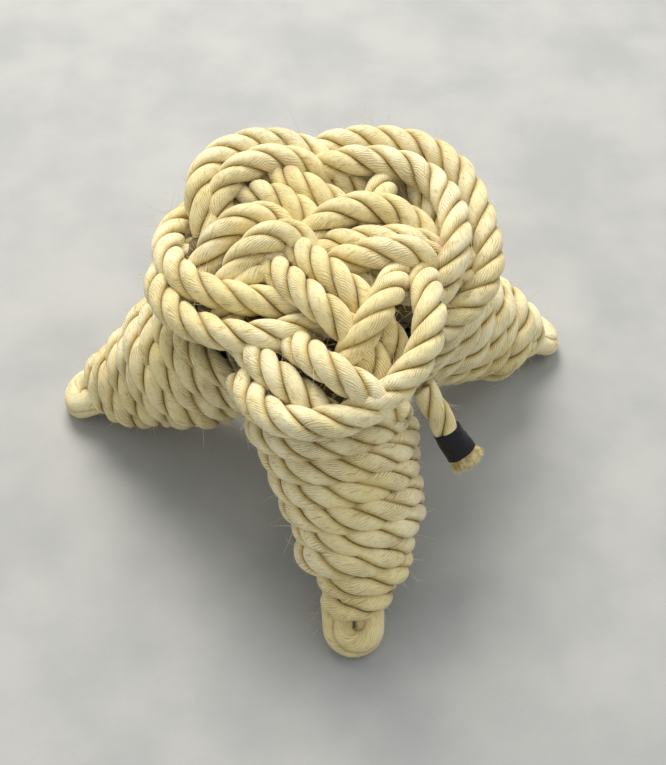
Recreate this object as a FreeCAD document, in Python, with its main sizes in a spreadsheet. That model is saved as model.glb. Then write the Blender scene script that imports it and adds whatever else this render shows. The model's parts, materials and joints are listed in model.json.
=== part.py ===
"""Knotted rope tripod: a woven top knot on three tapered legs wound from laid rope.

Millimetres. The origin is on the floor, at the centre of the circle through the three feet,
+Z is up, the front leg points to -Y and +X is to its right.
"""
import FreeCAD, Part
import math
import os
from FreeCAD import Placement, Rotation, Vector

doc = FreeCAD.newDocument("RopeTripod")

# ---------------------------------------------------------------- driving dimensions
sheet = doc.addObject("Spreadsheet::Sheet", "Sizes")
DRIVING = {
    "rope_radius": 10.5,        # a pass of the knot, pressed a little under its free 12
    "wrap_radius": 9.5,         # a turn of a leg, pulled tighter
    "wrap_pitch": 19.5,         # from one turn to the next along the leg
    "first_wrap": 46.0,         # the lowest turn, from the leg's tip
    "foot_reach": 220.0,        # the tip of a leg, from the origin
    "leg_slope": 32.6,          # the leg's axis above the floor, degrees
    "sole_flat": 0.8,           # how much the floor presses off each foot loop
    "loop_radius": 11.4,        # half the distance between the foot loop's two runs
    "loop_length": 13.5,        # straight runs of the foot loop
    "core_start": 37.0,         # the core rope's lower end, from the tip
    "core_end": 172.0,          # the core rope's upper end, from the tip
    "core_radius": 8.8,
    "padding_start": 76.0,      # the inner turns' lower end, from the tip
    "padding_length": 94.0,
    "padding_low": 21.0,        # outer radius of the inner turns, lower end
    "padding_high": 40.0,       # outer radius of the inner turns, upper end
    "neck_low_radius": 34.0,    # the packed rope inside the knot, lower end
    "neck_high_radius": 98.0,   # the packed rope inside the knot, upper end
    "neck_base": 64.0,          # its lower end above the floor
    "neck_height": 100.0,
    "tape_width": 19.0,
    "tape_wall": 0.7,
    "fray_length": 12.0,
    "fray_radius": 12.5,
}
for row, (alias, value) in enumerate(DRIVING.items(), start=1):
    sheet.set(f"A{row}", alias.replace("_", " "))
    sheet.set(f"B{row}", str(value))
    sheet.setAlias(f"B{row}", alias)
GIRTH = (29.0, 41.0, 46.0, 52.0, 57.0, 60.0, 62.0)   # outer radius of each turn, tip to neck
for turn, girth in enumerate(GIRTH, start=1):
    cell = f"B{len(DRIVING) + turn}"
    sheet.set(cell, str(girth))
    sheet.setAlias(cell, f"girth_{turn}_mm")
doc.recompute()


def size(alias):
    """One driving dimension, as a plain number."""
    return float(getattr(sheet, alias))


SUB_PARTS = []      # the objects that are written, one STEP file each


def keep(obj, label):
    """Mark an object as a sub-part and name its file."""
    obj.Label = label
    SUB_PARTS.append(obj)
    return obj


# ---------------------------------------------------------------- rope along a route
def rounded_route(points):
    """A wire of straight runs joined by tangent arcs, with its length and smallest radius."""
    corners = [Vector(*p) for p in points]
    edges = []
    start = corners[0]
    smallest = None
    for before, corner, after in zip(corners, corners[1:], corners[2:]):
        back = (before - corner).normalize()
        ahead = (after - corner).normalize()
        half_turn = (math.pi - back.getAngle(ahead)) / 2
        shorter = min((before - corner).Length, (after - corner).Length)
        reach = 0.45 * shorter
        radius = reach / math.tan(half_turn)
        first = corner + back * reach
        last = corner + ahead * reach
        middle_line = (back + ahead).normalize()
        centre = corner + middle_line * (radius / math.cos(half_turn))
        middle = centre - middle_line * radius
        edges.append(Part.LineSegment(start, first).toShape())
        edges.append(Part.Arc(first, middle, last).toShape())
        start = last
        smallest = radius if smallest is None else min(smallest, radius)
    edges.append(Part.LineSegment(start, corners[-1]).toShape())
    return Part.Wire(edges), smallest


def rope_sweep(name, points, radius_alias):
    """A rope as a sweep of a bound circle along its rounded route."""
    wire, smallest = rounded_route(points)
    spine = doc.addObject("Part::Feature", f"{name}_route")
    spine.Shape = wire
    section = doc.addObject("Part::Circle", f"{name}_section")
    section.setExpression("Radius", f"Sizes.{radius_alias}")
    heading = Vector(*points[1]) - Vector(*points[0])
    section.Placement = Placement(Vector(*points[0]), Rotation(Vector(0, 0, 1), heading))
    sweep = doc.addObject("Part::Sweep", f"{name}_sweep")
    sweep.Sections = [section]
    sweep.Spine = (spine, [f"Edge{i + 1}" for i in range(len(wire.Edges))])
    sweep.Solid = True
    sweep.Frenet = False
    doc.recompute()
    wanted = math.pi * size(radius_alias) ** 2 * wire.Length
    print(f"{name}: length {wire.Length:.0f}, least radius {smallest:.0f}, "
          f"volume/expected {sweep.Shape.Volume / wanted:.3f}")
    return sweep


# ---------------------------------------------------------------- the woven top knot
# Each pass is a list of points chosen by hand along the rope's middle.
KNOT_PASSES = {
    "left_rim_pass": [
        (-102, 52, 156), (-122, 32, 163), (-127, 0, 169), (-112, -30, 173), (-88, -48, 175),
        (-62, -57, 178), (-38, -58, 181), (-16, -50, 180), (8, -34, 172)],
    "left_inner_pass": [
        (-92, 100, 160), (-112, 80, 165), (-123, 52, 170), (-120, 20, 177), (-101, -9, 184),
        (-75, -25, 188), (-47, -30, 187), (-18, -28, 181), (10, -12, 172)],
    "back_left_rim_pass": [
        (-86, 42, 162), (-94, 60, 180), (-100, 86, 192), (-90, 112, 197), (-69, 126, 199),
        (-45, 131, 199), (-21, 129, 195), (5, 119, 185), (30, 106, 173)],
    "back_left_inner_pass": [
        (-80, 52, 171), (-86, 72, 184), (-76, 92, 196), (-58, 104, 202), (-36, 110, 201),
        (-14, 109, 193), (8, 105, 183), (32, 98, 172)],
    "left_cross_pass": [
        (-62, 38, 170), (-45, 8, 187), (-23, -26, 200), (-3, -50, 203), (17, -65, 195),
        (38, -86, 176)],
    "middle_cross_pass": [
        (-40, 48, 175), (-26, 22, 191), (-6, -8, 203), (12, -28, 204), (30, -44, 196),
        (50, -64, 178)],
    "upper_left_loop": [
        (-100, 6, 163), (-89, 21, 185), (-75, 33, 199), (-59, 42, 203), (-42, 48, 197),
        (-22, 46, 180)],
    "lower_left_loop": [
        (-80, -18, 166), (-69, -2, 188), (-56, 9, 202), (-41, 19, 206), (-26, 24, 203),
        (-14, 22, 192), (-6, 8, 177)],
    "third_left_loop": [
        (-76, -34, 166), (-63, -16, 181), (-50, -3, 190), (-36, 8, 187), (-22, 22, 176)],
    "back_diagonal_pass": [
        (-58, 130, 172), (-43, 107, 186), (-26, 88, 196), (-8, 75, 197), (9, 66, 190),
        (28, 52, 174)],
    "centre_diagonal_pass": [
        (-70, 92, 172), (-56, 82, 188), (-39, 71, 196), (-22, 58, 195), (-8, 48, 186),
        (6, 34, 173)],
    "upper_right_pass": [
        (-32, 16, 176), (-15, 30, 191), (1, 43, 201), (21, 50, 205), (43, 51, 204),
        (61, 46, 198), (76, 35, 188), (90, 18, 172)],
    "middle_right_pass": [
        (-14, 16, 174), (-2, 21, 189), (16, 19, 198), (38, 19, 201), (60, 21, 199),
        (79, 21, 190), (94, 14, 172)],
    "lower_right_pass": [
        (-8, -10, 175), (5, 3, 191), (24, 1, 202), (46, 3, 206), (66, 7, 201),
        (80, 11, 188), (91, 13, 172), (99, 13, 156)],
    "shaded_right_pass": [
        (4, 4, 167), (18, -4, 179), (36, -7, 183), (54, -8, 177), (68, -13, 164)],
    "right_inner_loop": [
        (61, 28, 170), (53, 0, 187), (47, -30, 203), (38, -53, 206), (28, -69, 199),
        (17, -79, 184), (8, -90, 168)],
    "right_front_rim_pass": [
        (78, 30, 168), (71, 0, 186), (72, -32, 200), (75, -57, 199), (70, -80, 193),
        (57, -100, 184), (36, -118, 176), (11, -129, 171), (-14, -130, 169), (-36, -122, 166),
        (-52, -104, 162), (-61, -78, 154)],
    "front_under_pass": [
        (-68, -36, 160), (-52, -70, 171), (-35, -91, 175), (-17, -106, 172), (2, -118, 163)],
    "front_cross_pass": [
        (-30, -48, 168), (-15, -78, 186), (0, -97, 193), (16, -108, 190), (33, -114, 181),
        (52, -117, 166)],
    "back_right_rim_pass": [
        (-32, 126, 169), (-10, 134, 186), (15, 136, 195), (41, 135, 197), (67, 132, 196),
        (90, 121, 193), (107, 101, 188), (116, 78, 182), (122, 53, 177), (125, 28, 171),
        (119, 6, 165), (104, -13, 160), (82, -28, 153)],
    "back_right_inner_pass": [
        (-24, 108, 174), (-4, 110, 190), (18, 109, 199), (43, 107, 201), (65, 101, 199),
        (81, 89, 197), (92, 68, 197), (97, 42, 199), (97, 16, 197), (89, -5, 184),
        (72, -22, 162)],
    "back_link_pass": [
        (50, 114, 168), (46, 99, 183), (42, 84, 191), (40, 68, 190), (37, 52, 177)],
    "right_eye_pass": [
        (48, 126, 164), (64, 106, 175), (77, 85, 180), (86, 64, 178), (91, 44, 170),
        (88, 24, 158)],
    "back_under_rim_pass": [
        (-108, 58, 152), (-98, 88, 152), (-74, 110, 152), (-42, 121, 153),
        (-8, 117, 152), (26, 120, 152), (60, 116, 152), (90, 94, 154), (106, 70, 156)],
}


def knot():
    """The passes of the knot and the packed rope that they are drawn down on."""
    for label, points in KNOT_PASSES.items():
        keep(rope_sweep(label, points, "rope_radius"), label)
    neck = doc.addObject("Part::Cone", "packed_neck")
    neck.setExpression("Radius1", "Sizes.neck_low_radius")
    neck.setExpression("Radius2", "Sizes.neck_high_radius")
    neck.setExpression("Height", "Sizes.neck_height")
    neck.setExpression(".Placement.Base.z", "Sizes.neck_base")
    keep(neck, "packed_neck")


# ---------------------------------------------------------------- the three legs
LEG_BEARING = {"left": 172.5, "front": -84.0, "right": 27.0}


class LegFrame:
    """Places pieces along one leg: distances run from the tip up the leg's axis."""

    def __init__(self, bearing):
        slope = math.radians(size("leg_slope"))
        angle = math.radians(bearing)
        outward = Vector(math.cos(angle), math.sin(angle), 0)
        self.axis = outward * -math.cos(slope) + Vector(0, 0, math.sin(slope))
        self.across = Vector(-math.sin(angle), math.cos(angle), 0)
        lowest_middle = size("rope_radius") - size("sole_flat")
        tip_height = lowest_middle - size("rope_radius") * math.sin(slope)
        self.tip = outward * size("foot_reach") + Vector(0, 0, tip_height)

    def at(self, along, sideways=0.0):
        return self.tip + self.axis * along + self.across * sideways

    def placement(self, along):
        return Placement(self.at(along), Rotation(Vector(0, 0, 1), self.axis))


def foot_loop(side, frame, floor):
    """The rope's U-turn at the tip, cut flat where it stands."""
    turn = size("loop_radius")
    bend = size("rope_radius") + turn
    run_end = bend + size("loop_length")
    left, right = frame.at(bend, turn), frame.at(bend, -turn)
    edges = [
        Part.LineSegment(frame.at(run_end, turn), left).toShape(),
        Part.Arc(left, frame.at(size("rope_radius")), right).toShape(),
        Part.LineSegment(right, frame.at(run_end, -turn)).toShape(),
    ]
    spine = doc.addObject("Part::Feature", f"{side}_loop_route")
    spine.Shape = Part.Wire(edges)
    section = doc.addObject("Part::Circle", f"{side}_loop_section")
    section.setExpression("Radius", "Sizes.rope_radius")
    seam_up = frame.axis.cross(frame.across).negative()      # keeps the sweep's seam off the floor cut
    section.Placement = Placement(frame.at(run_end, turn), Rotation(seam_up, Vector(), frame.axis, "ZXY"))
    sweep = doc.addObject("Part::Sweep", f"{side}_loop_sweep")
    sweep.Sections = [section]
    sweep.Spine = (spine, ["Edge1", "Edge2", "Edge3"])
    sweep.Solid = True
    cut = doc.addObject("Part::Cut", f"{side}_loop_cut")
    cut.Base = sweep
    cut.Tool = floor
    keep(cut, f"{side}_foot_loop")


def ring_turns(side, frame, name, turns):
    """Turns of rope round the leg, as separate rings in one node."""
    rings = []
    for turn in turns:
        ring = doc.addObject("Part::Torus", f"{side}_turn_{turn}")
        ring.setExpression("Radius1", f"Sizes.girth_{turn}_mm - Sizes.wrap_radius")
        ring.setExpression("Radius2", "Sizes.wrap_radius")
        ring.Placement = frame.placement(size("first_wrap") + (turn - 1) * size("wrap_pitch"))
        rings.append(ring)
    group = doc.addObject("Part::Compound", f"{side}_{name}_group")
    group.Links = rings
    keep(group, f"{side}_{name}")


def leg(side, bearing, floor):
    """One leg: foot loop, core rope, inner turns and two courses of outer turns."""
    frame = LegFrame(bearing)
    foot_loop(side, frame, floor)

    core = doc.addObject("Part::Cylinder", f"{side}_core")
    core.setExpression("Radius", "Sizes.core_radius")
    core.setExpression("Height", "Sizes.core_end - Sizes.core_start")
    core.Placement = frame.placement(size("core_start"))

    cone = doc.addObject("Part::Cone", f"{side}_padding_cone")
    cone.setExpression("Radius1", "Sizes.padding_low")
    cone.setExpression("Radius2", "Sizes.padding_high")
    cone.setExpression("Height", "Sizes.padding_length")
    cone.Placement = frame.placement(size("padding_start"))
    hole = doc.addObject("Part::Cylinder", f"{side}_padding_hole")
    hole.setExpression("Radius", "Sizes.core_radius")
    hole.setExpression("Height", "Sizes.padding_length")
    hole.Placement = frame.placement(size("padding_start"))
    padding = doc.addObject("Part::Cut", f"{side}_padding_cut")
    padding.Base = cone
    padding.Tool = hole

    keep(core, f"{side}_leg_core")
    keep(padding, f"{side}_leg_inner_turns")
    ring_turns(side, frame, "leg_lower_turns", (1, 2, 3))
    ring_turns(side, frame, "leg_upper_turns", (4, 5, 6, 7))


def legs():
    floor = doc.addObject("Part::Box", "floor_block")
    floor.Length = floor.Width = 600
    floor.Height = 40
    floor.Placement.Base = Vector(-300, -300, -40)
    for side, bearing in LEG_BEARING.items():
        leg(side, bearing, floor)


# ---------------------------------------------------------------- the taped rope end
TAIL_ROUTE = [(70, -78, 147), (80, -86, 133), (88, -94, 117), (100, -102, 101)]


def tail():
    """The rope's own end: it comes out under the rim, is taped and frays past the tape."""
    keep(rope_sweep("tail_rope", TAIL_ROUTE, "rope_radius"), "tail_rope")
    end = Vector(*TAIL_ROUTE[-1])
    heading = (end - Vector(*TAIL_ROUTE[-2])).normalize()
    turned = Rotation(Vector(0, 0, 1), heading)
    tape_start = end - heading * size("tape_width")
    shell = doc.addObject("Part::Cylinder", "tape_outside")
    shell.setExpression("Radius", "Sizes.rope_radius + Sizes.tape_wall")
    shell.setExpression("Height", "Sizes.tape_width")
    shell.Placement = Placement(tape_start, turned)
    inside = doc.addObject("Part::Cylinder", "tape_inside")
    inside.setExpression("Radius", "Sizes.rope_radius")
    inside.setExpression("Height", "Sizes.tape_width")
    inside.Placement = Placement(tape_start, turned)
    tape = doc.addObject("Part::Cut", "tape_cut")
    tape.Base = shell
    tape.Tool = inside
    keep(tape, "end_tape")
    fray = doc.addObject("Part::Cone", "frayed_end")
    fray.setExpression("Radius1", "Sizes.rope_radius")
    fray.setExpression("Radius2", "Sizes.fray_radius")
    fray.setExpression("Height", "Sizes.fray_length")
    fray.Placement = Placement(end, turned)
    keep(fray, "frayed_end")


knot()
legs()
tail()
doc.recompute()

# ---------------------------------------------------------------- checks and files
for obj in doc.Objects:
    if "Invalid" in obj.State or "Error" in obj.State:
        raise RuntimeError(f"{obj.Label} did not recompute: {obj.State}")
for part in SUB_PARTS:
    if part.Shape.isNull() or not part.Shape.isValid():
        raise RuntimeError(f"{part.Label} has no valid shape")
os.makedirs("parts", exist_ok=True)
for part in SUB_PARTS:
    part.Shape.exportStep(f"parts/{part.Label}.step")
print(f"{len(SUB_PARTS)} sub-parts written")
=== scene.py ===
# %% [markdown]
# # A knotted rope tripod
# The real object is probably one or two long pieces of thick three-strand rope: a woven knot on top
# and three tapered legs wound from the same rope. This lesson builds every length of rope as three
# twisted strands that follow a smooth route, because the twist is what the eye reads as rope.

# %% Load the frame
import json
import math

import bpy
import numpy as np
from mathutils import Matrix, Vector

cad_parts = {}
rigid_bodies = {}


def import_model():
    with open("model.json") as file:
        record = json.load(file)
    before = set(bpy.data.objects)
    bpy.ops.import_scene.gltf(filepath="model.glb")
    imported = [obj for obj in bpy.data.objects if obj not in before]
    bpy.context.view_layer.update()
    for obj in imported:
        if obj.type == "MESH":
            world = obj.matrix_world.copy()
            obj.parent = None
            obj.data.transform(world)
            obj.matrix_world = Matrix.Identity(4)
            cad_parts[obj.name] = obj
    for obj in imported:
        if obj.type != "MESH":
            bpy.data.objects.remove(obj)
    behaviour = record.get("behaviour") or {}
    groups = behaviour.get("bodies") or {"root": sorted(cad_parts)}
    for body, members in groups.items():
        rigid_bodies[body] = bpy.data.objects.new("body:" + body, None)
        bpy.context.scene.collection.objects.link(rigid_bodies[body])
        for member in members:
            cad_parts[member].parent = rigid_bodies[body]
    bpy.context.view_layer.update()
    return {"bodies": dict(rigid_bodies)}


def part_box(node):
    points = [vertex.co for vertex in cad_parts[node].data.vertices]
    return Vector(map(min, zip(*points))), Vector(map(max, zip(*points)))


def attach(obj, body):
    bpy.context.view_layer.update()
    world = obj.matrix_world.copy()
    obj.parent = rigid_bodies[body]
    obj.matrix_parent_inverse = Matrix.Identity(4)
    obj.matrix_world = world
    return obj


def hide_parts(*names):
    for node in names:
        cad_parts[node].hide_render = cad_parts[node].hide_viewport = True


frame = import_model()

# %% [markdown]
# ## Camera
# The object is seen from above its front leg. Three numbers place the camera: how high it looks
# down, how far away it stands and the lens. A long lens keeps the near leg from swelling.

# %% Camera
LOOK_AT = Vector((0.005, -0.034, 0.100))
CAMERA_ELEVATION = math.radians(50.0)
CAMERA_DISTANCE = 1.2
LENS_MM = 73.4

camera_data = bpy.data.cameras.new("camera")
camera_data.lens = LENS_MM
camera_data.clip_end = 20.0
camera = bpy.data.objects.new("camera", camera_data)
bpy.context.scene.collection.objects.link(camera)
toward_camera = Vector((0.0, -math.cos(CAMERA_ELEVATION), math.sin(CAMERA_ELEVATION)))
camera.location = LOOK_AT + CAMERA_DISTANCE * toward_camera
camera.rotation_euler = (-toward_camera).to_track_quat("-Z", "Y").to_euler()
bpy.context.scene.camera = camera
print("camera stands", round(CAMERA_DISTANCE, 2), "m away")

# %% [markdown]
# ## Colours and nodes
# Colours are written as sRGB hex, as a paint chart gives them, and turned to the linear values that
# a render needs. One small function adds a node, sets it and links it.

# %% Colour and node helpers


def linear(hex_colour):
    """An sRGB hex colour as linear RGBA."""
    channels = [int(hex_colour[i:i + 2], 16) / 255 for i in (1, 3, 5)]
    return [c / 12.92 if c <= 0.04045 else ((c + 0.055) / 1.055) ** 2.4 for c in channels] + [1.0]


def add_node(tree, kind, inputs=None, **settings):
    """Adds a node. settings are its properties, inputs its socket values or the sockets to link."""
    node = tree.nodes.new(kind)
    for name, value in settings.items():
        setattr(node, name, value)
    for name, value in (inputs or {}).items():
        if isinstance(value, bpy.types.NodeSocket):
            tree.links.new(value, node.inputs[name])
        else:
            node.inputs[name].default_value = value
    return node


def new_material(name):
    """An empty node material with its output and a Principled shader."""
    material = bpy.data.materials.new(name)
    material.use_nodes = True
    tree = material.node_tree
    tree.nodes.clear()
    shader = add_node(tree, "ShaderNodeBsdfPrincipled")
    output = add_node(tree, "ShaderNodeOutputMaterial")
    tree.links.new(shader.outputs["BSDF"], output.inputs["Surface"])
    return material, tree, shader


# %% [markdown]
# ## Laid natural-fibre rope
# Rope like this is spun from plant fibre: fibres make yarns about 1.4 mm thick, yarns make strands,
# and three strands make the rope. Each yarn crosses its strand at a slant that leaves it nearly in
# line with the rope. The strands carry a UV map (metres along the strand, turns around it), so the
# yarns can be drawn as slanted lines that never swim. It is a dry, matte fibre with a faint sheen,
# cream where it is combed smooth and pale. Shade is painted into the colour where the lay turns into
# a groove: straw on the strands' sides and olive-brown in the grooves.

# %% Rope material
YARN_MM = 1.35                 # thickness of a yarn
YARNS_ROUND_A_STRAND = 18      # counted right round one strand
YARN_TWIST_MM = 41.0           # a yarn goes once round its strand in this length
FIBRE_MM = 0.25                # a fibre bundle within a yarn, drawn as coarse as it needs to show
FIBRE_LENGTH_MM = 6.0
STREAK_MM = 0.9                # a dark streak is a few fibre bundles wide
STREAK_LENGTH_MM = 20.0
TONE_PATCHES = 16.0            # patches in a metre: pale and straw, each about 60 mm
GROOVE_PATCHES = 38.0          # stretches where the painted groove shade is strong or faint, about 26 mm
COMBED_PATCHES = 48.0          # combed and ruffled yarns, about 21 mm
WANDER_PATCHES = 60.0          # how the yarns wander, about 17 mm
DYE_EDGE_PATCHES = 160.0       # the ragged edge of a dye mark, about 6 mm
YARN_RELIEF = 0.0006           # metres from the top of a yarn to the gap beside it
DYE_CORE = 0.006               # a dye mark is full strength within this radius
DYE_REACH = 0.014              # and gone at this one
DYE_STRENGTH = 0.5
DYE_MARKS = {"right dye mark": (0.086, 0.014, 0.203), "back dye mark": (-0.030, 0.094, 0.203)}


def maths(tree, operation, first, second=0.0):
    """A maths node's result; each input is a number or a socket."""
    node = add_node(tree, "ShaderNodeMath", operation=operation)
    for socket, value in zip(node.inputs, (first, second)):
        if isinstance(value, bpy.types.NodeSocket):
            tree.links.new(value, socket)
        else:
            socket.default_value = value
    return node.outputs[0]


def mix_colour(tree, factor, first, second, blend="MIX"):
    """Two colours mixed by a factor; each colour is a hex string or a socket."""
    node = add_node(tree, "ShaderNodeMix", {"Factor": factor}, data_type="RGBA", blend_type=blend)
    for socket, value in ((node.inputs[6], first), (node.inputs[7], second)):
        if isinstance(value, str):
            socket.default_value = linear(value)
        else:
            tree.links.new(value, socket)
    return node.outputs[2]


def smooth_range(tree, value, low, high):
    """0 below low, 1 above high and smooth between."""
    return add_node(tree, "ShaderNodeMapRange", {"Value": value, "From Min": low, "From Max": high},
                    interpolation_type="SMOOTHSTEP").outputs["Result"]


def rope_material(name, pale, mid, flank_shade_colour, groove_shade_colour, dye_marks=()):
    """Plant-fibre rope: pale on the crests, with shade painted on their sides and darker shade painted in
    the lay's grooves.
    """
    material, tree, shader = new_material(name)
    uv = add_node(tree, "ShaderNodeUVMap", uv_map="lay")
    axes = add_node(tree, "ShaderNodeSeparateXYZ", {"Vector": uv.outputs["UV"]})
    place = add_node(tree, "ShaderNodeTexCoord").outputs["Object"]

    def noise(scale, detail=2.0, vector=place):
        node = add_node(tree, "ShaderNodeTexNoise", {"Vector": vector, "Scale": scale, "Detail": detail})
        return node.outputs["Fac"]

    # the yarns: a slanted count that goes up by one at each yarn, and wanders as yarns do
    along = axes.outputs["X"]
    turns = maths(tree, "ADD", axes.outputs["Y"], maths(tree, "DIVIDE", along, YARN_TWIST_MM / 1000))
    wander = maths(tree, "MULTIPLY", maths(tree, "SUBTRACT", noise(WANDER_PATCHES), 0.5), 5.0)
    count = maths(tree, "ADD", maths(tree, "MULTIPLY", turns, YARNS_ROUND_A_STRAND), wander)
    yarn_round = maths(tree, "ABSOLUTE", maths(tree, "SINE", maths(tree, "MULTIPLY", count, math.pi)))
    combed = smooth_range(tree, noise(COMBED_PATCHES), 0.40, 0.66)
    yarn_gap = maths(tree, "MULTIPLY", maths(tree, "SUBTRACT", 1.0, maths(tree, "POWER", yarn_round, 0.5)),
                     maths(tree, "ADD", 0.12, maths(tree, "MULTIPLY", combed, 0.78)))

    # fibres: noise drawn out along the yarn, fine for the hairs and coarse for the odd dark streak
    def drawn_out(width_mm, length_mm, detail):
        vector = add_node(tree, "ShaderNodeCombineXYZ", {
            "X": maths(tree, "MULTIPLY", count, YARN_MM / width_mm / 2),
            "Y": maths(tree, "MULTIPLY", along, 1000 / length_mm)})
        return noise(1.0, detail, vector.outputs["Vector"])

    fibres = drawn_out(FIBRE_MM, FIBRE_LENGTH_MM, 3.0)
    streaks = drawn_out(STREAK_MM, STREAK_LENGTH_MM, 2.0)

    # colour: slow patches, then shade painted on the sides and in the grooves of the lay, then yarn gaps,
    # streaks and fibres
    depth = add_node(tree, "ShaderNodeAttribute", attribute_name="crest").outputs["Fac"]
    colour = mix_colour(tree, smooth_range(tree, noise(TONE_PATCHES, 3.0), 0.36, 0.66), pale, mid)
    for mark in dye_marks:
        reach = add_node(tree, "ShaderNodeVectorMath", {0: place}, operation="DISTANCE")
        reach.inputs[1].default_value = mark
        ragged = maths(tree, "MULTIPLY", noise(DYE_EDGE_PATCHES), 0.008)
        edge = maths(tree, "ADD", reach.outputs["Value"], ragged)
        fade = maths(tree, "SUBTRACT", 1.0, smooth_range(tree, edge, DYE_CORE, DYE_REACH))
        colour = mix_colour(tree, maths(tree, "MULTIPLY", fade, DYE_STRENGTH), colour, "#d99a86")
    # painted shade: the strands darken on their sides, where they drop toward a groove
    painted_flank_shade = maths(tree, "SUBTRACT", 1.0, smooth_range(tree, depth, 0.76, 0.97))
    colour = mix_colour(tree, painted_flank_shade, colour, flank_shade_colour)
    # painted shade: darker still in the grooves of the lay, strong in some stretches and faint in others
    groove = maths(tree, "SUBTRACT", 1.0, smooth_range(tree, depth, 0.70, 0.80))
    groove = maths(tree, "MULTIPLY", groove, smooth_range(tree, noise(GROOVE_PATCHES), 0.25, 0.65))
    colour = mix_colour(tree, groove, colour, groove_shade_colour)
    colour = mix_colour(tree, yarn_gap, colour, "#b09c68", "MULTIPLY")
    dark_streak = maths(tree, "MULTIPLY", smooth_range(tree, streaks, 0.56, 0.72), 0.45)
    colour = mix_colour(tree, dark_streak, colour, "#b3a068", "MULTIPLY")
    fibre_shade = maths(tree, "MULTIPLY", smooth_range(tree, fibres, 0.45, 0.75), 0.5)
    colour = mix_colour(tree, fibre_shade, colour, "#cdbd8c", "MULTIPLY")
    tree.links.new(colour, shader.inputs["Base Color"])

    relief = maths(tree, "SUBTRACT", maths(tree, "MULTIPLY", fibres, 0.9), yarn_gap)
    bump = add_node(tree, "ShaderNodeBump", {"Height": relief, "Strength": 0.7, "Distance": YARN_RELIEF})
    tree.links.new(bump.outputs["Normal"], shader.inputs["Normal"])
    shader.inputs["Roughness"].default_value = 0.85
    shader.inputs["Specular IOR Level"].default_value = 0.2
    shader.inputs["Sheen Weight"].default_value = 0.3
    shader.inputs["Sheen Roughness"].default_value = 0.5
    return material


# the last two colours are painted shade, for the strands' sides and for the grooves of the lay
rope_fibre = rope_material("natural_fibre_rope", "#fcf1c6", "#f2e2a6", "#d6c07c", "#84703a",
                           dye_marks=DYE_MARKS.values())
# A dark copy of the rope material: painted shade for rope that lies deep inside the knot and the legs.
painted_shade_fibre = rope_material("painted_shade_fibre_rope", "#7a6d46", "#675a34", "#4a3f22", "#251d0d")
print("yarns are", YARN_MM, "mm thick")

# %% [markdown]
# ## Routes
# A length of rope follows a smooth line, so each route is a NURBS curve that a few control points
# steer. Blender evaluates the curve, and its points are then spaced evenly.

# %% Smooth routes
STEP = 0.0016       # metres between two rings of a strand


def even_steps(points, step=STEP):
    """The same line, with points a fixed step apart."""
    points = np.asarray(points, float)
    spans = np.linalg.norm(np.diff(points, axis=0), axis=1)
    reach = np.concatenate([[0.0], np.cumsum(spans)])
    wanted = np.linspace(0.0, reach[-1], max(int(reach[-1] / step), 4))
    return np.stack([np.interp(wanted, reach, points[:, k]) for k in range(3)], axis=1)


def smooth_route(points_mm):
    """A route's NURBS line, in metres, as evenly spaced points."""
    curve = bpy.data.curves.new("route", "CURVE")
    curve.dimensions = "3D"
    spline = curve.splines.new("NURBS")
    spline.points.add(len(points_mm) - 1)
    for point, place in zip(spline.points, points_mm):
        point.co = (*(c / 1000 for c in place), 1.0)
    spline.order_u = 3
    spline.use_endpoint_u = True
    spline.resolution_u = 24
    carrier = bpy.data.objects.new("route", curve)
    line = bpy.data.meshes.new_from_object(carrier)
    points = [v.co[:] for v in line.vertices]
    bpy.data.objects.remove(carrier)
    bpy.data.curves.remove(curve)
    bpy.data.meshes.remove(line)
    return even_steps(points)


# %% [markdown]
# ## Twisting three strands round a route
# A frame is carried along the route without spinning (each one is the last, tipped by the bend), and
# the three strands wind round it to the right, one full turn in about 2.7 rope widths. The strands
# are squeezed together, so seen end on each is a plump third of a circle: a broad lobe outside, with
# a shallow V-shaped groove between it and the next, and a wedge that reaches in to the middle.

# %% Strands
ROPE_RADIUS = 0.0124
LAY_LENGTH = 0.067      # one full turn of a strand
STRANDS = 3
LOBE_POINTS = 15        # points across the lobe a strand shows
GROOVE = 0.30           # the grooves' depth as a share of the rope's radius
LOBE_POWER = 2.7        # a high power keeps a lobe broad and drops it steeply into the groove
WEDGE_ANGLE = 0.96      # how wide the inner wedge opens, as a share of its third of the circle
WEDGE_REACH = [0.44, 0.10, 0.44]     # the wedge's three points, as shares of the rope's radius
LAY_WANDER = 0.12       # radians by which the lay runs ahead or behind
STRAND_SWELL = 0.035    # how much a strand's thickness varies, as a share of it
STRAND_ROLL = 0.05      # radians by which a strand shifts round the rope


def carried_frames(line):
    """Unit tangent and two cross directions at each point, carried along without spin."""
    tangent = np.gradient(line, axis=0)
    tangent /= np.linalg.norm(tangent, axis=1)[:, None]
    first = np.cross(tangent[0], (0.0, 0.0, 1.0))
    if np.linalg.norm(first) < 0.1:
        first = np.cross(tangent[0], (0.0, 1.0, 0.0))
    side = np.empty_like(line)
    side[0] = first / np.linalg.norm(first)
    for i in range(1, len(line)):
        tipped = side[i - 1] - tangent[i] * np.dot(side[i - 1], tangent[i])
        side[i] = tipped / np.linalg.norm(tipped)
    return tangent, side, np.cross(tangent, side)


def slow_noise(rng, count, waves=6, period=40):
    """A smooth random line of about -1 to 1: a few sines of random phase."""
    steps = np.arange(count)
    total = np.zeros(count)
    for k in range(1, waves + 1):
        phase = rng.uniform(0, 2 * np.pi)
        total += math.sqrt(1 / k) * np.sin(2 * np.pi * k * steps / (period * waves) + phase)
    return total / 2.4


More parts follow.
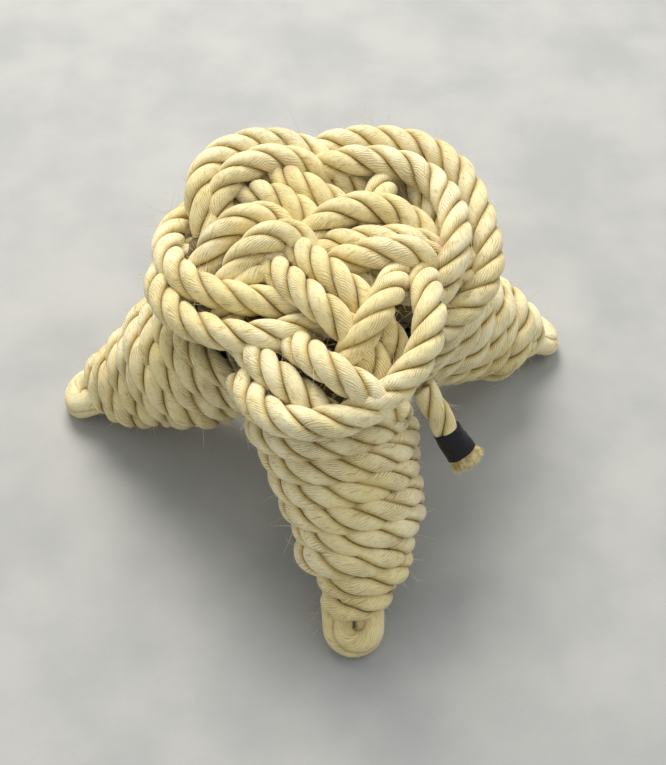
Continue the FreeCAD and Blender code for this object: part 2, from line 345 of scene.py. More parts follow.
def strand_grids(line, radius, phase, rng, groove=GROOVE, lay=LAY_LENGTH):
    """The strands' surfaces: for each, its rings, the distance along it and how far out it reaches."""
    tangent, side, up = carried_frames(line)
    count = len(line)
    lengths = np.arange(count) * np.linalg.norm(line[1] - line[0])
    spin = 2 * np.pi * lengths / lay + phase + LAY_WANDER * slow_noise(rng, count)
    across = np.linspace(-1, 1, LOBE_POINTS)
    lobe = 1 - groove * np.abs(across) ** LOBE_POWER
    third = math.pi / STRANDS
    outline_angle = np.concatenate([across * third, [third * WEDGE_ANGLE, 0.0, -third * WEDGE_ANGLE]])
    outline_reach = np.concatenate([lobe, WEDGE_REACH])
    # the crest is free to move, the groove and the wedge are not
    free = np.concatenate([1 - np.abs(across) ** 3, np.zeros(len(WEDGE_REACH))])
    grids = []
    for k in range(STRANDS):
        swell = 1 + STRAND_SWELL * slow_noise(rng, count)[:, None] * free
        roll = STRAND_ROLL * slow_noise(rng, count)[:, None] * free
        angle = spin[:, None] + 2 * np.pi * k / STRANDS + outline_angle + roll
        reach = radius * outline_reach * swell
        ring = (line[:, None, :]
                + (reach * np.cos(angle))[..., None] * side[:, None, :]
                + (reach * np.sin(angle))[..., None] * up[:, None, :])
        middle = ring[:, LOBE_POINTS // 2]
        run = np.concatenate([[0.0], np.cumsum(np.linalg.norm(np.diff(middle, axis=0), axis=1))])
        grids.append((ring, run, np.broadcast_to(outline_reach, ring.shape[:2])))
    return grids


# %% [markdown]
# ## From rings of points to a mesh
# Every strand is a tube of rings. The mesh is filled from arrays, which is much quicker than adding
# faces one by one, and the tube's ends are closed with a fan.

# %% Mesh from rings


def tube_piece(name, grids, material):
    """One closed mesh object from a list of ring grids, with the lay UV map and the crest value."""
    verts, quads, fans, crests = [], [], [], []
    corner_u, corner_v = [], []
    base = 0
    for ring, run, crest in grids:
        rows, around = ring.shape[:2]
        index = base + np.arange(rows * around).reshape(rows, around)
        nxt = np.roll(index, -1, axis=1)
        quad = np.stack([index[:-1], nxt[:-1], nxt[1:], index[1:]], axis=-1).reshape(-1, 4)
        quads.append(quad)
        u = np.broadcast_to(run[:, None], (rows, around))
        v0 = np.broadcast_to(np.arange(around) / around, (rows, around))
        v1 = v0 + 1 / around
        corner_u.append(np.stack([u[:-1], u[:-1], u[1:], u[1:]], axis=-1).reshape(-1))
        corner_v.append(np.stack([v0[:-1], v1[:-1], v1[1:], v0[1:]], axis=-1).reshape(-1))
        verts.append(ring.reshape(-1, 3))
        crests.append(crest.reshape(-1))
        fans += [list(index[0][::-1]), list(index[-1])]
        base += rows * around
    quads = np.concatenate(quads)
    loops = np.concatenate([quads.reshape(-1)] + [np.array(fan) for fan in fans])
    sizes = np.concatenate([np.full(len(quads), 4), [len(fan) for fan in fans]])
    mesh = bpy.data.meshes.new(name)
    mesh.vertices.add(base)
    mesh.vertices.foreach_set("co", np.concatenate(verts).reshape(-1).astype(np.float32))
    mesh.loops.add(len(loops))
    mesh.loops.foreach_set("vertex_index", loops.astype(np.int32))
    mesh.polygons.add(len(sizes))
    mesh.polygons.foreach_set("loop_start", np.concatenate([[0], np.cumsum(sizes)[:-1]]).astype(np.int32))
    mesh.update(calc_edges=True)
    mesh.validate()
    lay = mesh.uv_layers.new(name="lay")
    uv = np.zeros((len(loops), 2), np.float32)
    uv[:quads.size, 0] = np.concatenate(corner_u)
    uv[:quads.size, 1] = np.concatenate(corner_v)
    lay.data.foreach_set("uv", uv.reshape(-1))
    crest_layer = mesh.attributes.new("crest", "FLOAT", "POINT")
    crest_layer.data.foreach_set("value", np.concatenate(crests).astype(np.float32))
    mesh.shade_smooth()
    mesh.materials.append(material)
    piece = bpy.data.objects.new(name, mesh)
    bpy.context.scene.collection.objects.link(piece)
    return piece


# %% [markdown]
# ## The woven top knot
# The knot is a flat turban shape: lengths of rope that go over and under each other, doubled along
# the rim. Each pass has its own route, in millimetres, which dips under its neighbours at both ends.

# %% Knot routes
KNOT_PASSES = {
    "left_rim_pass": [
        (-102, 52, 156), (-122, 32, 163), (-127, 0, 169), (-112, -30, 173), (-88, -48, 175),
        (-62, -57, 178), (-38, -58, 181), (-16, -50, 180), (8, -34, 172)],
    "left_inner_pass": [
        (-92, 100, 160), (-112, 80, 165), (-123, 52, 170), (-120, 20, 177), (-101, -9, 184),
        (-75, -25, 188), (-47, -30, 187), (-18, -28, 181), (10, -12, 172)],
    "back_left_rim_pass": [
        (-86, 42, 162), (-94, 60, 180), (-100, 86, 192), (-90, 112, 197), (-69, 126, 199),
        (-45, 131, 199), (-21, 129, 195), (5, 119, 185), (30, 106, 173)],
    "back_left_inner_pass": [
        (-80, 52, 171), (-86, 72, 184), (-76, 92, 196), (-58, 104, 202), (-36, 110, 201),
        (-14, 109, 193), (8, 105, 183), (32, 98, 172)],
    "left_cross_pass": [
        (-62, 38, 170), (-45, 8, 187), (-23, -26, 200), (-3, -50, 203), (17, -65, 195),
        (38, -86, 176)],
    "middle_cross_pass": [
        (-40, 48, 175), (-26, 22, 191), (-6, -8, 203), (12, -28, 204), (30, -44, 196),
        (50, -64, 178)],
    "upper_left_loop": [
        (-100, 6, 163), (-89, 21, 185), (-75, 33, 199), (-59, 42, 203), (-42, 48, 197),
        (-22, 46, 180)],
    "lower_left_loop": [
        (-80, -18, 166), (-69, -2, 188), (-56, 9, 202), (-41, 19, 206), (-26, 24, 203),
        (-14, 22, 192), (-6, 8, 177)],
    "third_left_loop": [
        (-76, -34, 166), (-63, -16, 181), (-50, -3, 190), (-36, 8, 187), (-22, 22, 176)],
    "back_diagonal_pass": [
        (-58, 130, 172), (-43, 107, 186), (-26, 88, 196), (-8, 75, 197), (9, 66, 190),
        (28, 52, 174)],
    "centre_diagonal_pass": [
        (-70, 92, 172), (-56, 82, 188), (-39, 71, 196), (-22, 58, 195), (-8, 48, 186),
        (6, 34, 173)],
    "upper_right_pass": [
        (-32, 16, 176), (-15, 30, 191), (1, 43, 201), (21, 50, 205), (43, 51, 204),
        (61, 46, 198), (76, 35, 188), (90, 18, 172)],
    "middle_right_pass": [
        (-14, 16, 174), (-2, 21, 189), (16, 19, 198), (38, 19, 201), (60, 21, 199),
        (79, 21, 190), (94, 14, 172)],
    "lower_right_pass": [
        (-8, -10, 175), (5, 3, 191), (24, 1, 202), (46, 3, 206), (66, 7, 201),
        (80, 11, 188), (91, 13, 172), (99, 13, 156)],
    "shaded_right_pass": [
        (4, 4, 167), (18, -4, 179), (36, -7, 183), (54, -8, 177), (68, -13, 164)],
    "right_inner_loop": [
        (61, 28, 170), (53, 0, 187), (47, -30, 203), (38, -53, 206), (28, -69, 199),
        (17, -79, 184), (8, -90, 168)],
    "right_front_rim_pass": [
        (78, 30, 168), (71, 0, 186), (72, -32, 200), (75, -57, 199), (70, -80, 193),
        (57, -100, 184), (36, -118, 176), (11, -129, 171), (-14, -130, 169), (-36, -122, 166),
        (-52, -104, 162), (-61, -78, 154)],
    "front_under_pass": [
        (-68, -36, 160), (-52, -70, 171), (-35, -91, 175), (-17, -106, 172), (2, -118, 163)],
    "front_cross_pass": [
        (-30, -48, 168), (-15, -78, 186), (0, -97, 193), (16, -108, 190), (33, -114, 181),
        (52, -117, 166)],
    "back_right_rim_pass": [
        (-32, 126, 169), (-10, 134, 186), (15, 136, 195), (41, 135, 197), (67, 132, 196),
        (90, 121, 193), (107, 101, 188), (116, 78, 182), (122, 53, 177), (125, 28, 171),
        (119, 6, 165), (104, -13, 160), (82, -28, 153)],
    "back_right_inner_pass": [
        (-24, 108, 174), (-4, 110, 190), (18, 109, 199), (43, 107, 201), (65, 101, 199),
        (81, 89, 197), (92, 68, 197), (97, 42, 199), (97, 16, 197), (89, -5, 184),
        (72, -22, 162)],
    "back_link_pass": [
        (50, 114, 168), (46, 99, 183), (42, 84, 191), (40, 68, 190), (37, 52, 177)],
    "right_eye_pass": [
        (48, 126, 164), (64, 106, 175), (77, 85, 180), (86, 64, 178), (91, 44, 170),
        (88, 24, 158)],
    "back_under_rim_pass": [
        (-108, 58, 152), (-98, 88, 152), (-74, 110, 152), (-42, 121, 153),
        (-8, 117, 152), (26, 120, 152), (60, 116, 152), (90, 94, 154), (106, 70, 156)],
}

# Two passes end where the front of the knot is open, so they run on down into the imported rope.
TUCKED_ENDS = {"left_cross_pass": (48, -98, 150), "middle_cross_pass": (58, -78, 150)}

# %% Lay the passes
FUZZ_SOURCES = {body: [] for body in frame["bodies"]}     # surfaces that stray fibres grow from


def laid_piece(name, line, grids, body, material=rope_fibre):
    """A piece of rope from its strands' surfaces, riding on a body."""
    piece = tube_piece(name, grids, material)
    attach(piece, body)
    if material is rope_fibre:
        FUZZ_SOURCES[body].append((line, grids))
    return piece


def rope_piece(name, line, body, seed, radius=ROPE_RADIUS, phase=None, material=rope_fibre):
    """Three strands along a line, riding on a body."""
    rng = np.random.default_rng(seed)
    start = rng.uniform(0, 2 * np.pi) if phase is None else phase
    return laid_piece(name, line, strand_grids(line, radius, start, rng), body, material)


for number, (node, points) in enumerate(KNOT_PASSES.items()):
    route = points + [TUCKED_ENDS[node]] if node in TUCKED_ENDS else points
    length_of_rope = rope_piece("rope_" + node, smooth_route(route), "knot", 100 + number)
    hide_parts(node)
print(len(KNOT_PASSES), "passes in the knot")

# %% [markdown]
# ## The imported rope under the knot
# Under the weave the rope is packed in turns that narrow towards the floor. A winding on a cone
# closes the knot's inside, and a flat coil lies across it, so that the gaps of the weave show rope
# and not daylight. Both are drawn in a dark copy of the rope material: painted shade for the knot's inside.

# %% Packed neck
NECK_PITCH = 0.021
NECK_TURN_POINTS = 90
NECK_LOW_RADIUS = 0.026     # of the winding's middle line at the cone's foot
NECK_FOOT_GAP = 0.012       # from the cone's foot up to where the winding starts
NECK_HEAD_GAP = 0.014       # from the cone's top down to where it ends
COIL_OVERHANG = 0.007       # how far the coil reaches past the cone's top edge
COIL_EYE = 0.014            # the radius of the coil's innermost turn
COIL_DROP = 0.001           # from the cone's top down to the coil's middle line
COIL_MIDDLE = (-0.002, 0.030)
COIL_FRONT = 0.68           # the coil is pushed in at the front to this share of its radius


def cone_winding(low_radius, high_radius, base, top):
    """A line that winds up a cone round the Z axis."""
    turns = (top - base) / NECK_PITCH
    angle = np.linspace(0, 2 * np.pi * turns, int(turns * NECK_TURN_POINTS))
    share = angle / angle[-1]
    radius = low_radius + (high_radius - low_radius) * share
    return even_steps(np.stack([radius * np.cos(angle), radius * np.sin(angle),
                                base + (top - base) * share], axis=1))


def flat_coil(outer, inner, height, middle, front):
    """A flat spiral from an outer radius to an inner one; front is how far it reaches toward -Y."""
    turns = (outer - inner) / NECK_PITCH
    angle = np.linspace(0, 2 * np.pi * turns, int(turns * NECK_TURN_POINTS))
    radius = outer + (inner - outer) * angle / angle[-1]
    depth = np.sin(angle) * (1 - (1 - front) * np.clip(-np.sin(angle), 0, 1))
    return even_steps(np.stack([middle[0] + radius * np.cos(angle), middle[1] + radius * depth,
                                np.full_like(angle, height)], axis=1))


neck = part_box("packed_neck")
neck_low, neck_high = neck[0][2], neck[1][2]
neck_top_radius = (neck[1][0] - neck[0][0]) / 2
neck_line = cone_winding(NECK_LOW_RADIUS, neck_top_radius - ROPE_RADIUS,
                         neck_low + NECK_FOOT_GAP, neck_high - NECK_HEAD_GAP)
neck_winding = rope_piece("packed_neck_winding", neck_line, "knot", 300, material=painted_shade_fibre)
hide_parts("packed_neck")
coil_line = flat_coil(neck_top_radius + COIL_OVERHANG, COIL_EYE, neck_high - COIL_DROP,
                      COIL_MIDDLE, COIL_FRONT)
neck_coil = rope_piece("packed_neck_coil", coil_line, "knot", 301, material=painted_shade_fibre)
print("neck packed up to", round(neck_high, 3), "m")

# %% Rope packed behind the rim
BACK_PACKING = [
    (-98, 66, 170), (-82, 98, 172), (-50, 119, 174), (-10, 125, 174), (30, 125, 174),
    (66, 115, 174), (92, 90, 171), (106, 62, 167), (110, 34, 163), (102, 8, 160)]
packing_line = smooth_route(BACK_PACKING)
back_packing = rope_piece("back_packing_rope", packing_line, "knot", 302)
print(round(len(packing_line) * STEP, 2), "m of rope packed behind the rim")

# %% [markdown]
# ## The legs
# Each leg is a rope wound round a core, from a foot loop up to the knot. The winding is one line
# for the whole leg: its girth grows in steps, its middle sways from side to side as the leg was
# wound by hand, and its turns lean over the leg, each leg its own way. Both ends of the rope are
# tucked inside. The line is cut in two, where the CAD model parts the lower turns from the upper.

# %% Leg geometry
LEG_SLOPE = math.radians(32.6)
FOOT_REACH = 0.220
TIP_HEIGHT = 0.0040
BEARINGS = {"left": 172.5, "front": -84.0, "right": 27.0}
LEAN_AT = [0.040, 0.100, 0.150, 0.190]
LEAN = {"left": [-0.15, 0.05, 0.35, 0.55],
        "front": [0.40, 0.50, 0.55, 0.50],
        "right": [0.05, 0.15, 0.25, 0.35]}
# distances up the leg are in metres; girth is the leg's outer radius there, and sway its sideways
# shift, both in millimetres
GIRTH_AT = [0.036, 0.049, 0.062, 0.070, 0.079, 0.093, 0.108, 0.116, 0.127, 0.149, 0.165, 0.182, 0.196]
GIRTH = {"left": [25.5, 29.0, 35.0, 38.5, 42.0, 46.5, 51.0, 56.0, 59.0, 58.0, 58.0, 59.0, 57.0],
         "front": [25.5, 28.0, 34.0, 39.5, 43.0, 46.5, 49.0, 53.0, 56.0, 58.0, 62.0, 66.0, 62.0],
         "right": [24.5, 26.5, 29.0, 34.0, 43.0, 45.0, 46.0, 50.0, 51.0, 55.0, 58.0, 60.0, 59.0]}
SWAY_AT = [0.036, 0.049, 0.062, 0.072, 0.079, 0.093, 0.104, 0.110, 0.118, 0.127, 0.149, 0.182]
SWAY = {"left": [0, 1, 4, 5, 3, 1, 0, 2, 4, 3, 1, 0],
        "front": [1, 3, 9, 7, 3, 6, 10, 11, 7, 4, 1, -4],
        "right": [1, 3, 4, 0, -2, 1, 3, 4, 2, 1, 3, 4]}
TURN_PITCH = 0.0195
TURN_RADIUS = 0.0106
TURN_FULLNESS = 0.0013      # the turns bulge this much past TURN_RADIUS and so touch
LEG_TURN_POINTS = 80
OUTER_REACH = (0.036, 0.192)        # where the outer winding starts and ends
INNER_REACH = (0.072, 0.178)        # the same for the inner turns
INNER_INSET = 0.019         # how far the inner turns lie inside the outer ones
CORE_REACH = (0.037, 0.172)
CORE_RADIUS = 0.0088
END_TUCK = 0.3              # how far the winding's ends are drawn in, as a share of the girth
COURSE_SPLIT = 0.0955       # the distance up the leg where the upper turns start
LOOP_ROPE_RADIUS = 0.0114   # the rope is pinched in the foot loops' tight bend
LOOP_CENTRE = 0.0225        # the middle of the bend, from the leg's tip
LOOP_PHASE = 1.2            # turns a strand's broad face up in the foot loops
LOOP_GROOVE = 0.17          # the strands are pressed together there
LOOP_LAY = 0.240            # and the lay is opened out by the bend
SOLE_HEIGHT = 0.0004        # the floor presses the foot loops flat at this height
FOOT_GAP = {"left": 0.0022, "front": 0.0006, "right": 0.0006}     # how far a foot loop's runs stand apart


class LegLine:
    """Places points along one leg: distances run from the tip up the leg's axis."""

    def __init__(self, bearing):
        angle = math.radians(bearing)
        outward = np.array([math.cos(angle), math.sin(angle), 0.0])
        self.axis = -outward * math.cos(LEG_SLOPE) + np.array([0.0, 0.0, math.sin(LEG_SLOPE)])
        self.across = np.array([-math.sin(angle), math.cos(angle), 0.0])
        self.over = np.cross(self.across, self.axis)
        self.tip = outward * FOOT_REACH + np.array([0.0, 0.0, TIP_HEIGHT])

    def winding(self, start, end, rng, girth_mm, lean=None, sway=None, inset=0.0, tuck=0.0):
        """A line that winds up the leg, with the distance up the leg of each of its points.
        Lean and sway change up the leg, and None leaves them out."""
        turns = (end - start) / TURN_PITCH
        angle = np.linspace(0, 2 * np.pi * turns, int(turns * LEG_TURN_POINTS)) + math.pi
        along = start + (end - start) * np.linspace(0, 1, len(angle))
        base = along.copy()
        girth = np.interp(along, GIRTH_AT, girth_mm) / 1000 - TURN_RADIUS - inset
        girth *= 1 + 0.02 * slow_noise(rng, len(angle), period=14)
        from_start = (angle - angle[0]) / (2 * np.pi)
        from_end = (angle[-1] - angle) / (2 * np.pi)
        start_tuck = np.clip(1 - from_start / 0.4, 0, 1) ** 2
        end_tuck = np.clip(1 - from_end / 0.5, 0, 1) ** 2
        girth *= 1 - tuck * (start_tuck + end_tuck)
        tilt = 0.0 if lean is None else np.interp(base, LEAN_AT, lean)
        along = along - tilt * girth * np.cos(angle) + 0.0012 * slow_noise(rng, len(angle), period=9)
        offset = 0.0 if sway is None else np.interp(base, SWAY_AT, sway) / 1000
        spoke = np.cos(angle)[:, None] * self.over + np.sin(angle)[:, None] * self.across
        line = self.tip + self.axis * along[:, None] + spoke * girth[:, None]
        line += self.across * np.asarray(offset)[..., None]
        even = even_steps(line)
        return even, np.interp(np.linspace(0, 1, len(even)), np.linspace(0, 1, len(base)), base)

    def foot_loop(self, gap):
        """The line of the rope's U-turn at the tip."""
        half = LOOP_ROPE_RADIUS + gap
        turn = np.linspace(math.pi / 2, -math.pi / 2, 24)
        curve = [(LOOP_CENTRE - LOOP_ROPE_RADIUS * math.cos(t), half * math.sin(t)) for t in turn]
        run = [(0.064, half * 0.75), (0.050, half * 0.9), (0.036, half)]
        route = run + curve + [(a, -b) for a, b in reversed(run)]
        return even_steps([self.tip + self.axis * a + self.across * b for a, b in route])


# %% Wind the legs
for side_number, (side_name, bearing) in enumerate(BEARINGS.items()):
    leg = LegLine(bearing)
    body = f"{side_name}_leg"
    leg_rng = np.random.default_rng(400 + side_number)
    line, distance = leg.winding(*OUTER_REACH, leg_rng, GIRTH[side_name], LEAN[side_name], SWAY[side_name],
                                 tuck=END_TUCK)
    grids = strand_grids(line, TURN_RADIUS + TURN_FULLNESS, 0.0, leg_rng)
    cut = int(np.searchsorted(distance, COURSE_SPLIT))
    for course, rows in (("lower_turns", slice(0, cut + 1)), ("upper_turns", slice(cut, None))):
        part = [(ring[rows], run[rows], crest[rows]) for ring, run, crest in grids]
        piece = laid_piece(f"{side_name}_{course}", line[rows], part, body)
        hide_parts(f"{side_name}_leg_{course}")
    loop_line = leg.foot_loop(FOOT_GAP[side_name])
    loop_grids = strand_grids(loop_line, LOOP_ROPE_RADIUS, LOOP_PHASE, leg_rng, LOOP_GROOVE, LOOP_LAY)
    for ring, _, _ in loop_grids:
        ring[..., 2] = np.maximum(ring[..., 2], SOLE_HEIGHT)
    loop = laid_piece(f"{side_name}_foot_loop_rope", loop_line, loop_grids, body)
    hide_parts(f"{side_name}_foot_loop")
    # The inner turns and the core are drawn in the dark rope: painted shade for the leg's inside.
    inner_line, _ = leg.winding(*INNER_REACH, leg_rng, GIRTH[side_name], inset=INNER_INSET)
    inner = rope_piece(f"{side_name}_inner_turns_rope", inner_line, body, 450 + side_number,
                       TURN_RADIUS, material=painted_shade_fibre)
    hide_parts(f"{side_name}_leg_inner_turns")
    core_line = even_steps([leg.tip + leg.axis * a for a in CORE_REACH])
    core = rope_piece(f"{side_name}_core_rope", core_line, body, 460 + side_number,
                      CORE_RADIUS, material=painted_shade_fibre)
    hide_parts(f"{side_name}_leg_core")
    print(side_name, "leg wound,", round(len(line) * STEP, 2), "m of rope outside")

# %% [markdown]
# ## The taped rope end
# The rope's own end hangs under the rim. Black vinyl tape is wound round it three times, a little
# out of step each time, and it pulls the strands together. Past the tape the cut end opens like a
# short brush of golden fibres, darker than the rope because the cut shows the fibres end on.

# %% Tail rope
TAIL_ROUTE = [(70, -78, 147), (80, -86, 133), (88, -94, 117), (100, -102, 101)]
TAIL_RADIUS = 0.0102        # the tape pulls the strands in, so the end is thinner than the rope
tail_line = smooth_route(TAIL_ROUTE)
tail_piece = rope_piece("tail_rope_strands", tail_line, "tail", 500, radius=TAIL_RADIUS)
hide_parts("tail_rope")
print(round(len(tail_line) * STEP, 3), "m of rope in the tail")

# %% Vinyl tape
tape_material, tape_tree, tape_shader = new_material("black_vinyl_tape")
tape_place = add_node(tape_tree, "ShaderNodeTexCoord").outputs["Object"]
tape_wrinkles = add_node(tape_tree, "ShaderNodeTexNoise", {
    "Vector": tape_place, "Scale": 260.0, "Detail": 3.0})      # wrinkles about 4 mm apart
tape_bump = add_node(tape_tree, "ShaderNodeBump", {
    "Height": tape_wrinkles.outputs["Fac"], "Strength": 0.5, "Distance": 0.0006})
tape_tree.links.new(tape_bump.outputs["Normal"], tape_shader.inputs["Normal"])
tape_shader.inputs["Base Color"].default_value = linear("#0d0e14")
tape_shader.inputs["Roughness"].default_value = 0.42
tape_shader.inputs["Specular IOR Level"].default_value = 0.35

TAPE_LAYERS = 3
TAPE_LENGTH = 0.021
TAPE_RADIUS = 0.0106        # under the layers' edges
TAPE_EDGE = 0.00022         # the step at a layer's edge, drawn a little thick so that it shows
TAPE_WRINKLE = 0.00018
TAPE_AROUND = 60            # points round one ring of the tape
tape_start = len(tail_line) - 1 - int(TAPE_LENGTH / STEP)
tape_rng = np.random.default_rng(510)
FUZZ_SOURCES["tail"] = [(line[:tape_start], [[part[:tape_start] for part in grid] for grid in grids])
                        for line, grids in FUZZ_SOURCES["tail"]]      # no fibres grow through the tape


def tape_grid(line, rng):
    """The tape's outer face: rings along the line, stepped where each layer's edge lies."""
    tangent, across, up = carried_frames(line)
    angles = np.linspace(0, 2 * np.pi, TAPE_AROUND, endpoint=False)
    share = np.linspace(0, 1, len(line))[:, None]
    lobes = 1 + 0.018 * np.cos(3 * (angles[None, :] - share * 2.0))
    flare = 1 + 0.07 * share ** 2
    edges = sum(TAPE_EDGE * (share > 0.08 + 0.16 * k + 0.03 * np.cos(angles[None, :] + k))
                for k in range(TAPE_LAYERS))
    wrinkle = TAPE_WRINKLE * np.cos(angles[None, :] * 7 + 9 * share + rng.uniform(0, 6)) * np.sin(11 * share)
    radius = (TAPE_RADIUS * lobes * flare) + edges + wrinkle
    spoke = (np.cos(angles)[None, :, None] * across[:, None, :]
             + np.sin(angles)[None, :, None] * up[:, None, :])
    ring = line[:, None, :] + radius[..., None] * spoke
    return ring, np.arange(len(line)) * STEP, np.ones(ring.shape[:2])


tape_line = even_steps(tail_line[tape_start:], 0.0005)
tape = tube_piece("tape_wound_three_times", [tape_grid(tape_line, tape_rng)], tape_material)
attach(tape, "tail")
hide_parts("end_tape")
print("tape covers the last", round(TAPE_LENGTH * 1000), "mm of the rope")

# %% [markdown]
# ## Fibres
# Loose fibres are thin tapering tubes, all filled from arrays at once. A fibre leaves its root along
# the yarn, lifts away from the rope and bends. Most are short and lie close, and about a quarter are
# longer and stand out.

# %% Fibre mesh
FIBRE_SIDES = 3
FIBRE_RINGS = 5
FIBRE_FLOOR = 0.0006        # no fibre reaches lower than this
FIBRE_TIP = 0.35            # a fibre's thickness at its tip, as a share of its root's


def fibre_material(name, first_colour, second_colour):
    """Loose plant fibres: dry, with a slight shine, and paler in some patches than in others."""
    material, tree, shader = new_material(name)
    place = add_node(tree, "ShaderNodeTexCoord").outputs["Object"]
    patches = add_node(tree, "ShaderNodeTexNoise", {"Vector": place, "Scale": 300.0, "Detail": 1.0})
    share = smooth_range(tree, patches.outputs["Fac"], 0.4, 0.6)
    tree.links.new(mix_colour(tree, share, first_colour, second_colour), shader.inputs["Base Color"])
    shader.inputs["Roughness"].default_value = 0.6
    shader.inputs["Specular IOR Level"].default_value = 0.3
    return material


def fibre_piece(name, roots, heads, bends, lengths, thickness, material):
    """Many fibres in one mesh: each starts at its root, heads one way and bends another."""
    count = len(roots)
    t = np.linspace(0, 1, FIBRE_RINGS)[None, :, None]
    path = roots[:, None, :] + lengths[:, None, None] * (t * heads[:, None, :] + t ** 2 * bends[:, None, :])
    path[..., 2] = np.maximum(path[..., 2], FIBRE_FLOOR)
    run = np.gradient(path, axis=1)
    run /= np.linalg.norm(run, axis=2)[..., None] + 1e-12
    side = np.cross(run, (0.31, 0.22, 0.92))
    side /= np.linalg.norm(side, axis=2)[..., None] + 1e-12
    up = np.cross(run, side)
    radius = thickness[:, None] * np.linspace(1.0, FIBRE_TIP, FIBRE_RINGS)[None, :]
    angles = np.arange(FIBRE_SIDES) * 2 * np.pi / FIBRE_SIDES
    ring = (path[:, :, None, :] + radius[:, :, None, None]
            * (np.cos(angles)[None, None, :, None] * side[:, :, None, :]
               + np.sin(angles)[None, None, :, None] * up[:, :, None, :]))
    index = np.arange(count * FIBRE_RINGS * FIBRE_SIDES).reshape(count, FIBRE_RINGS, FIBRE_SIDES)
    nxt = np.roll(index, -1, axis=2)
    quads = np.stack([index[:, :-1], nxt[:, :-1], nxt[:, 1:], index[:, 1:]], axis=-1).reshape(-1, 4)
    mesh = bpy.data.meshes.new(name)
    mesh.vertices.add(index.size)
    mesh.vertices.foreach_set("co", ring.reshape(-1).astype(np.float32))
    mesh.loops.add(quads.size)
    mesh.loops.foreach_set("vertex_index", quads.reshape(-1).astype(np.int32))
    mesh.polygons.add(len(quads))
    mesh.polygons.foreach_set("loop_start", np.arange(len(quads), dtype=np.int32) * 4)
    mesh.update(calc_edges=True)
    mesh.validate()
    mesh.shade_smooth()
    mesh.materials.append(material)
    piece = bpy.data.objects.new(name, mesh)
    bpy.context.scene.collection.objects.link(piece)
    return piece


def unit(vectors):
    """The same directions with a length of one."""
    return vectors / (np.linalg.norm(vectors, axis=-1)[..., None] + 1e-12)


# %% Stray fibres on every rope
stray_fibre = fibre_material("stray_plant_fibre", "#f3ebca", "#d9c88f")
FAR_SHARE = 0.25
FAR_LENGTH = (0.006, 0.018)
NEAR_LENGTH = (0.002, 0.006)
FAR_LIFT = (0.2, 0.75)      # how steeply a fibre leaves the rope
NEAR_LIFT = (0.1, 0.5)
FAR_THICKNESS = 0.00018
NEAR_THICKNESS = 0.00012
CREST_REACH = 0.80          # fibres grow only from points that reach out at least this far


def stray_fibres(body, per_metre, seed):
    """Loose fibres over all the outer rope of a body."""
    rng = np.random.default_rng(seed)
    roots, heads, bends, lengths, thickness = [], [], [], [], []
    for line, grids in FUZZ_SOURCES[body]:
        for ring, run, crest in grids:
            count = int((run[-1] - run[0]) * per_metre)
            row = rng.integers(2, len(ring) - 2, count)
            column = rng.integers(0, ring.shape[1], count)
            outside = crest[row, column] > CREST_REACH
            row, column = row[outside], column[outside]
            root = ring[row, column]
            outward = unit(root - line[row])
            either_way = rng.choice([-1, 1], len(row))[:, None]
            yarn = unit(ring[row + 1, column] - ring[row - 1, column]) * either_way
            far = rng.random(len(row)) < FAR_SHARE
            length = np.where(far, rng.uniform(*FAR_LENGTH, len(row)), rng.uniform(*NEAR_LENGTH, len(row)))
            lift = np.where(far, rng.uniform(*FAR_LIFT, len(row)), rng.uniform(*NEAR_LIFT, len(row)))
            roots.append(root - outward * 0.0002)
            heads.append(unit(yarn + outward * lift[:, None] + rng.normal(0, 0.25, (len(row), 3))))
            bends.append(rng.normal(0, 0.32, (len(row), 3)) - outward * 0.1)
            lengths.append(length)
            thickness.append(np.where(far, FAR_THICKNESS, NEAR_THICKNESS) * rng.uniform(0.6, 1.3, len(row)))
    facts = [np.concatenate(parts) for parts in (roots, heads, bends, lengths, thickness)]
    piece = fibre_piece(f"{body}_stray_fibres", *facts, stray_fibre)
    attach(piece, body)
    print(body, "has", len(facts[0]), "stray fibres")


for number, (body, density) in enumerate({
        "knot": 620, "left_leg": 520, "front_leg": 520, "right_leg": 520, "tail": 600}.items()):
    stray_fibres(body, density, 600 + number)

# %% Cut end of the tail
golden_fibre = fibre_material("cut_golden_fibre", "#f3e6b0", "#d9c178")
end_rng = np.random.default_rng(520)
END_FIBRES = 1500
END_RADIUS = 0.0108
END_SPLAY = 0.30            # how far the brush opens at its edge
END_SCATTER = 0.06
END_LENGTH = (0.0085, 0.0115)
END_THICKNESS = 0.00032
end_point = tail_line[-1]
end_tangent, end_side, end_up = (v[-1] for v in carried_frames(tail_line))
spread = np.sqrt(end_rng.random(END_FIBRES))
spin = end_rng.uniform(0, 2 * np.pi, END_FIBRES)
spoke = np.cos(spin)[:, None] * end_side + np.sin(spin)[:, None] * end_up
end_roots = end_point - end_tangent * 0.001 + spoke * (END_RADIUS * spread)[:, None]
end_scatter = end_rng.normal(0, END_SCATTER, (END_FIBRES, 3))
end_heads = unit(end_tangent + spoke * (END_SPLAY * spread)[:, None] + end_scatter)
end_bends = end_rng.normal(0, END_SCATTER, (END_FIBRES, 3))
end_lengths = end_rng.uniform(*END_LENGTH, END_FIBRES)
brush = fibre_piece("cut_end_brush", end_roots, end_heads, end_bends, end_lengths,
                    np.full(END_FIBRES, END_THICKNESS), golden_fibre)
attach(brush, "tail")
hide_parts("frayed_end")
print(END_FIBRES, "fibres in the cut end")

# %% [markdown]
# ## Floor and light
# A pale, worn concrete floor: slow cloudy patches and a fine speckle. The light is soft daylight
# from a window behind the object, a little to its left, and a bright room.

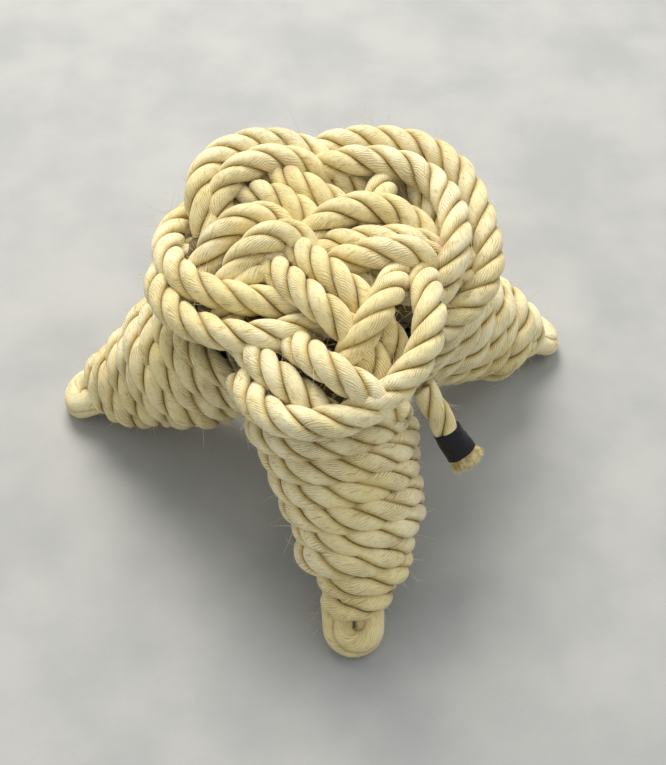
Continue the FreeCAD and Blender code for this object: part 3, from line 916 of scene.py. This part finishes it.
# %% Floor
floor_material, floor_tree, floor_shader = new_material("pale_concrete")
floor_place = add_node(floor_tree, "ShaderNodeTexCoord").outputs["Object"]
CLOUD_PATCHES = 11.0        # patches in a metre: each about 90 mm
GRIT_PATCHES = 420.0        # grit about 2.4 mm across
clouds = add_node(floor_tree, "ShaderNodeTexNoise", {
    "Vector": floor_place, "Scale": CLOUD_PATCHES, "Detail": 8.0})
grit = add_node(floor_tree, "ShaderNodeTexNoise", {
    "Vector": floor_place, "Scale": GRIT_PATCHES, "Detail": 2.0})
cloudy = smooth_range(floor_tree, clouds.outputs["Fac"], 0.30, 0.70)
floor_colour = mix_colour(floor_tree, cloudy, "#a2a3a1", "#b0b0ac")
speckled = maths(floor_tree, "MULTIPLY", smooth_range(floor_tree, grit.outputs["Fac"], 0.55, 0.85), 0.12)
floor_colour = mix_colour(floor_tree, speckled, floor_colour, "#a09c97", "MULTIPLY")
floor_tree.links.new(floor_colour, floor_shader.inputs["Base Color"])
floor_shader.inputs["Roughness"].default_value = 0.55
floor_shader.inputs["Specular IOR Level"].default_value = 0.3
FLOOR_SIZE = 8.0
bpy.ops.mesh.primitive_plane_add(size=FLOOR_SIZE, location=(0, 0, 0))
floor = bpy.context.object
floor.name = "floor"
floor.data.materials.append(floor_material)
print("floor is", FLOOR_SIZE, "m wide")

# %% Light
world = bpy.data.worlds.new("studio")
world.use_nodes = True
world.node_tree.nodes["Background"].inputs["Color"].default_value = linear("#eef1f5")
world.node_tree.nodes["Background"].inputs["Strength"].default_value = 0.66
bpy.context.scene.world = world


def area_light(name, place, size, power, colour):
    """A soft square lamp that faces the object."""
    lamp = bpy.data.lights.new(name, "AREA")
    lamp.size = size
    lamp.energy = power
    lamp.color = linear(colour)[:3]
    holder = bpy.data.objects.new(name, lamp)
    bpy.context.scene.collection.objects.link(holder)
    holder.location = place
    holder.rotation_euler = (Vector((0, 0, 0.1)) - Vector(place)).to_track_quat("-Z", "Y").to_euler()


area_light("window_light", (-0.5, 2.3, 2.9), 2.0, 146.0, "#fffaf2")
area_light("room_fill", (1.8, 0.4, 2.4), 2.2, 14.0, "#f2f6ff")

bpy.context.scene.view_settings.view_transform = "Standard"
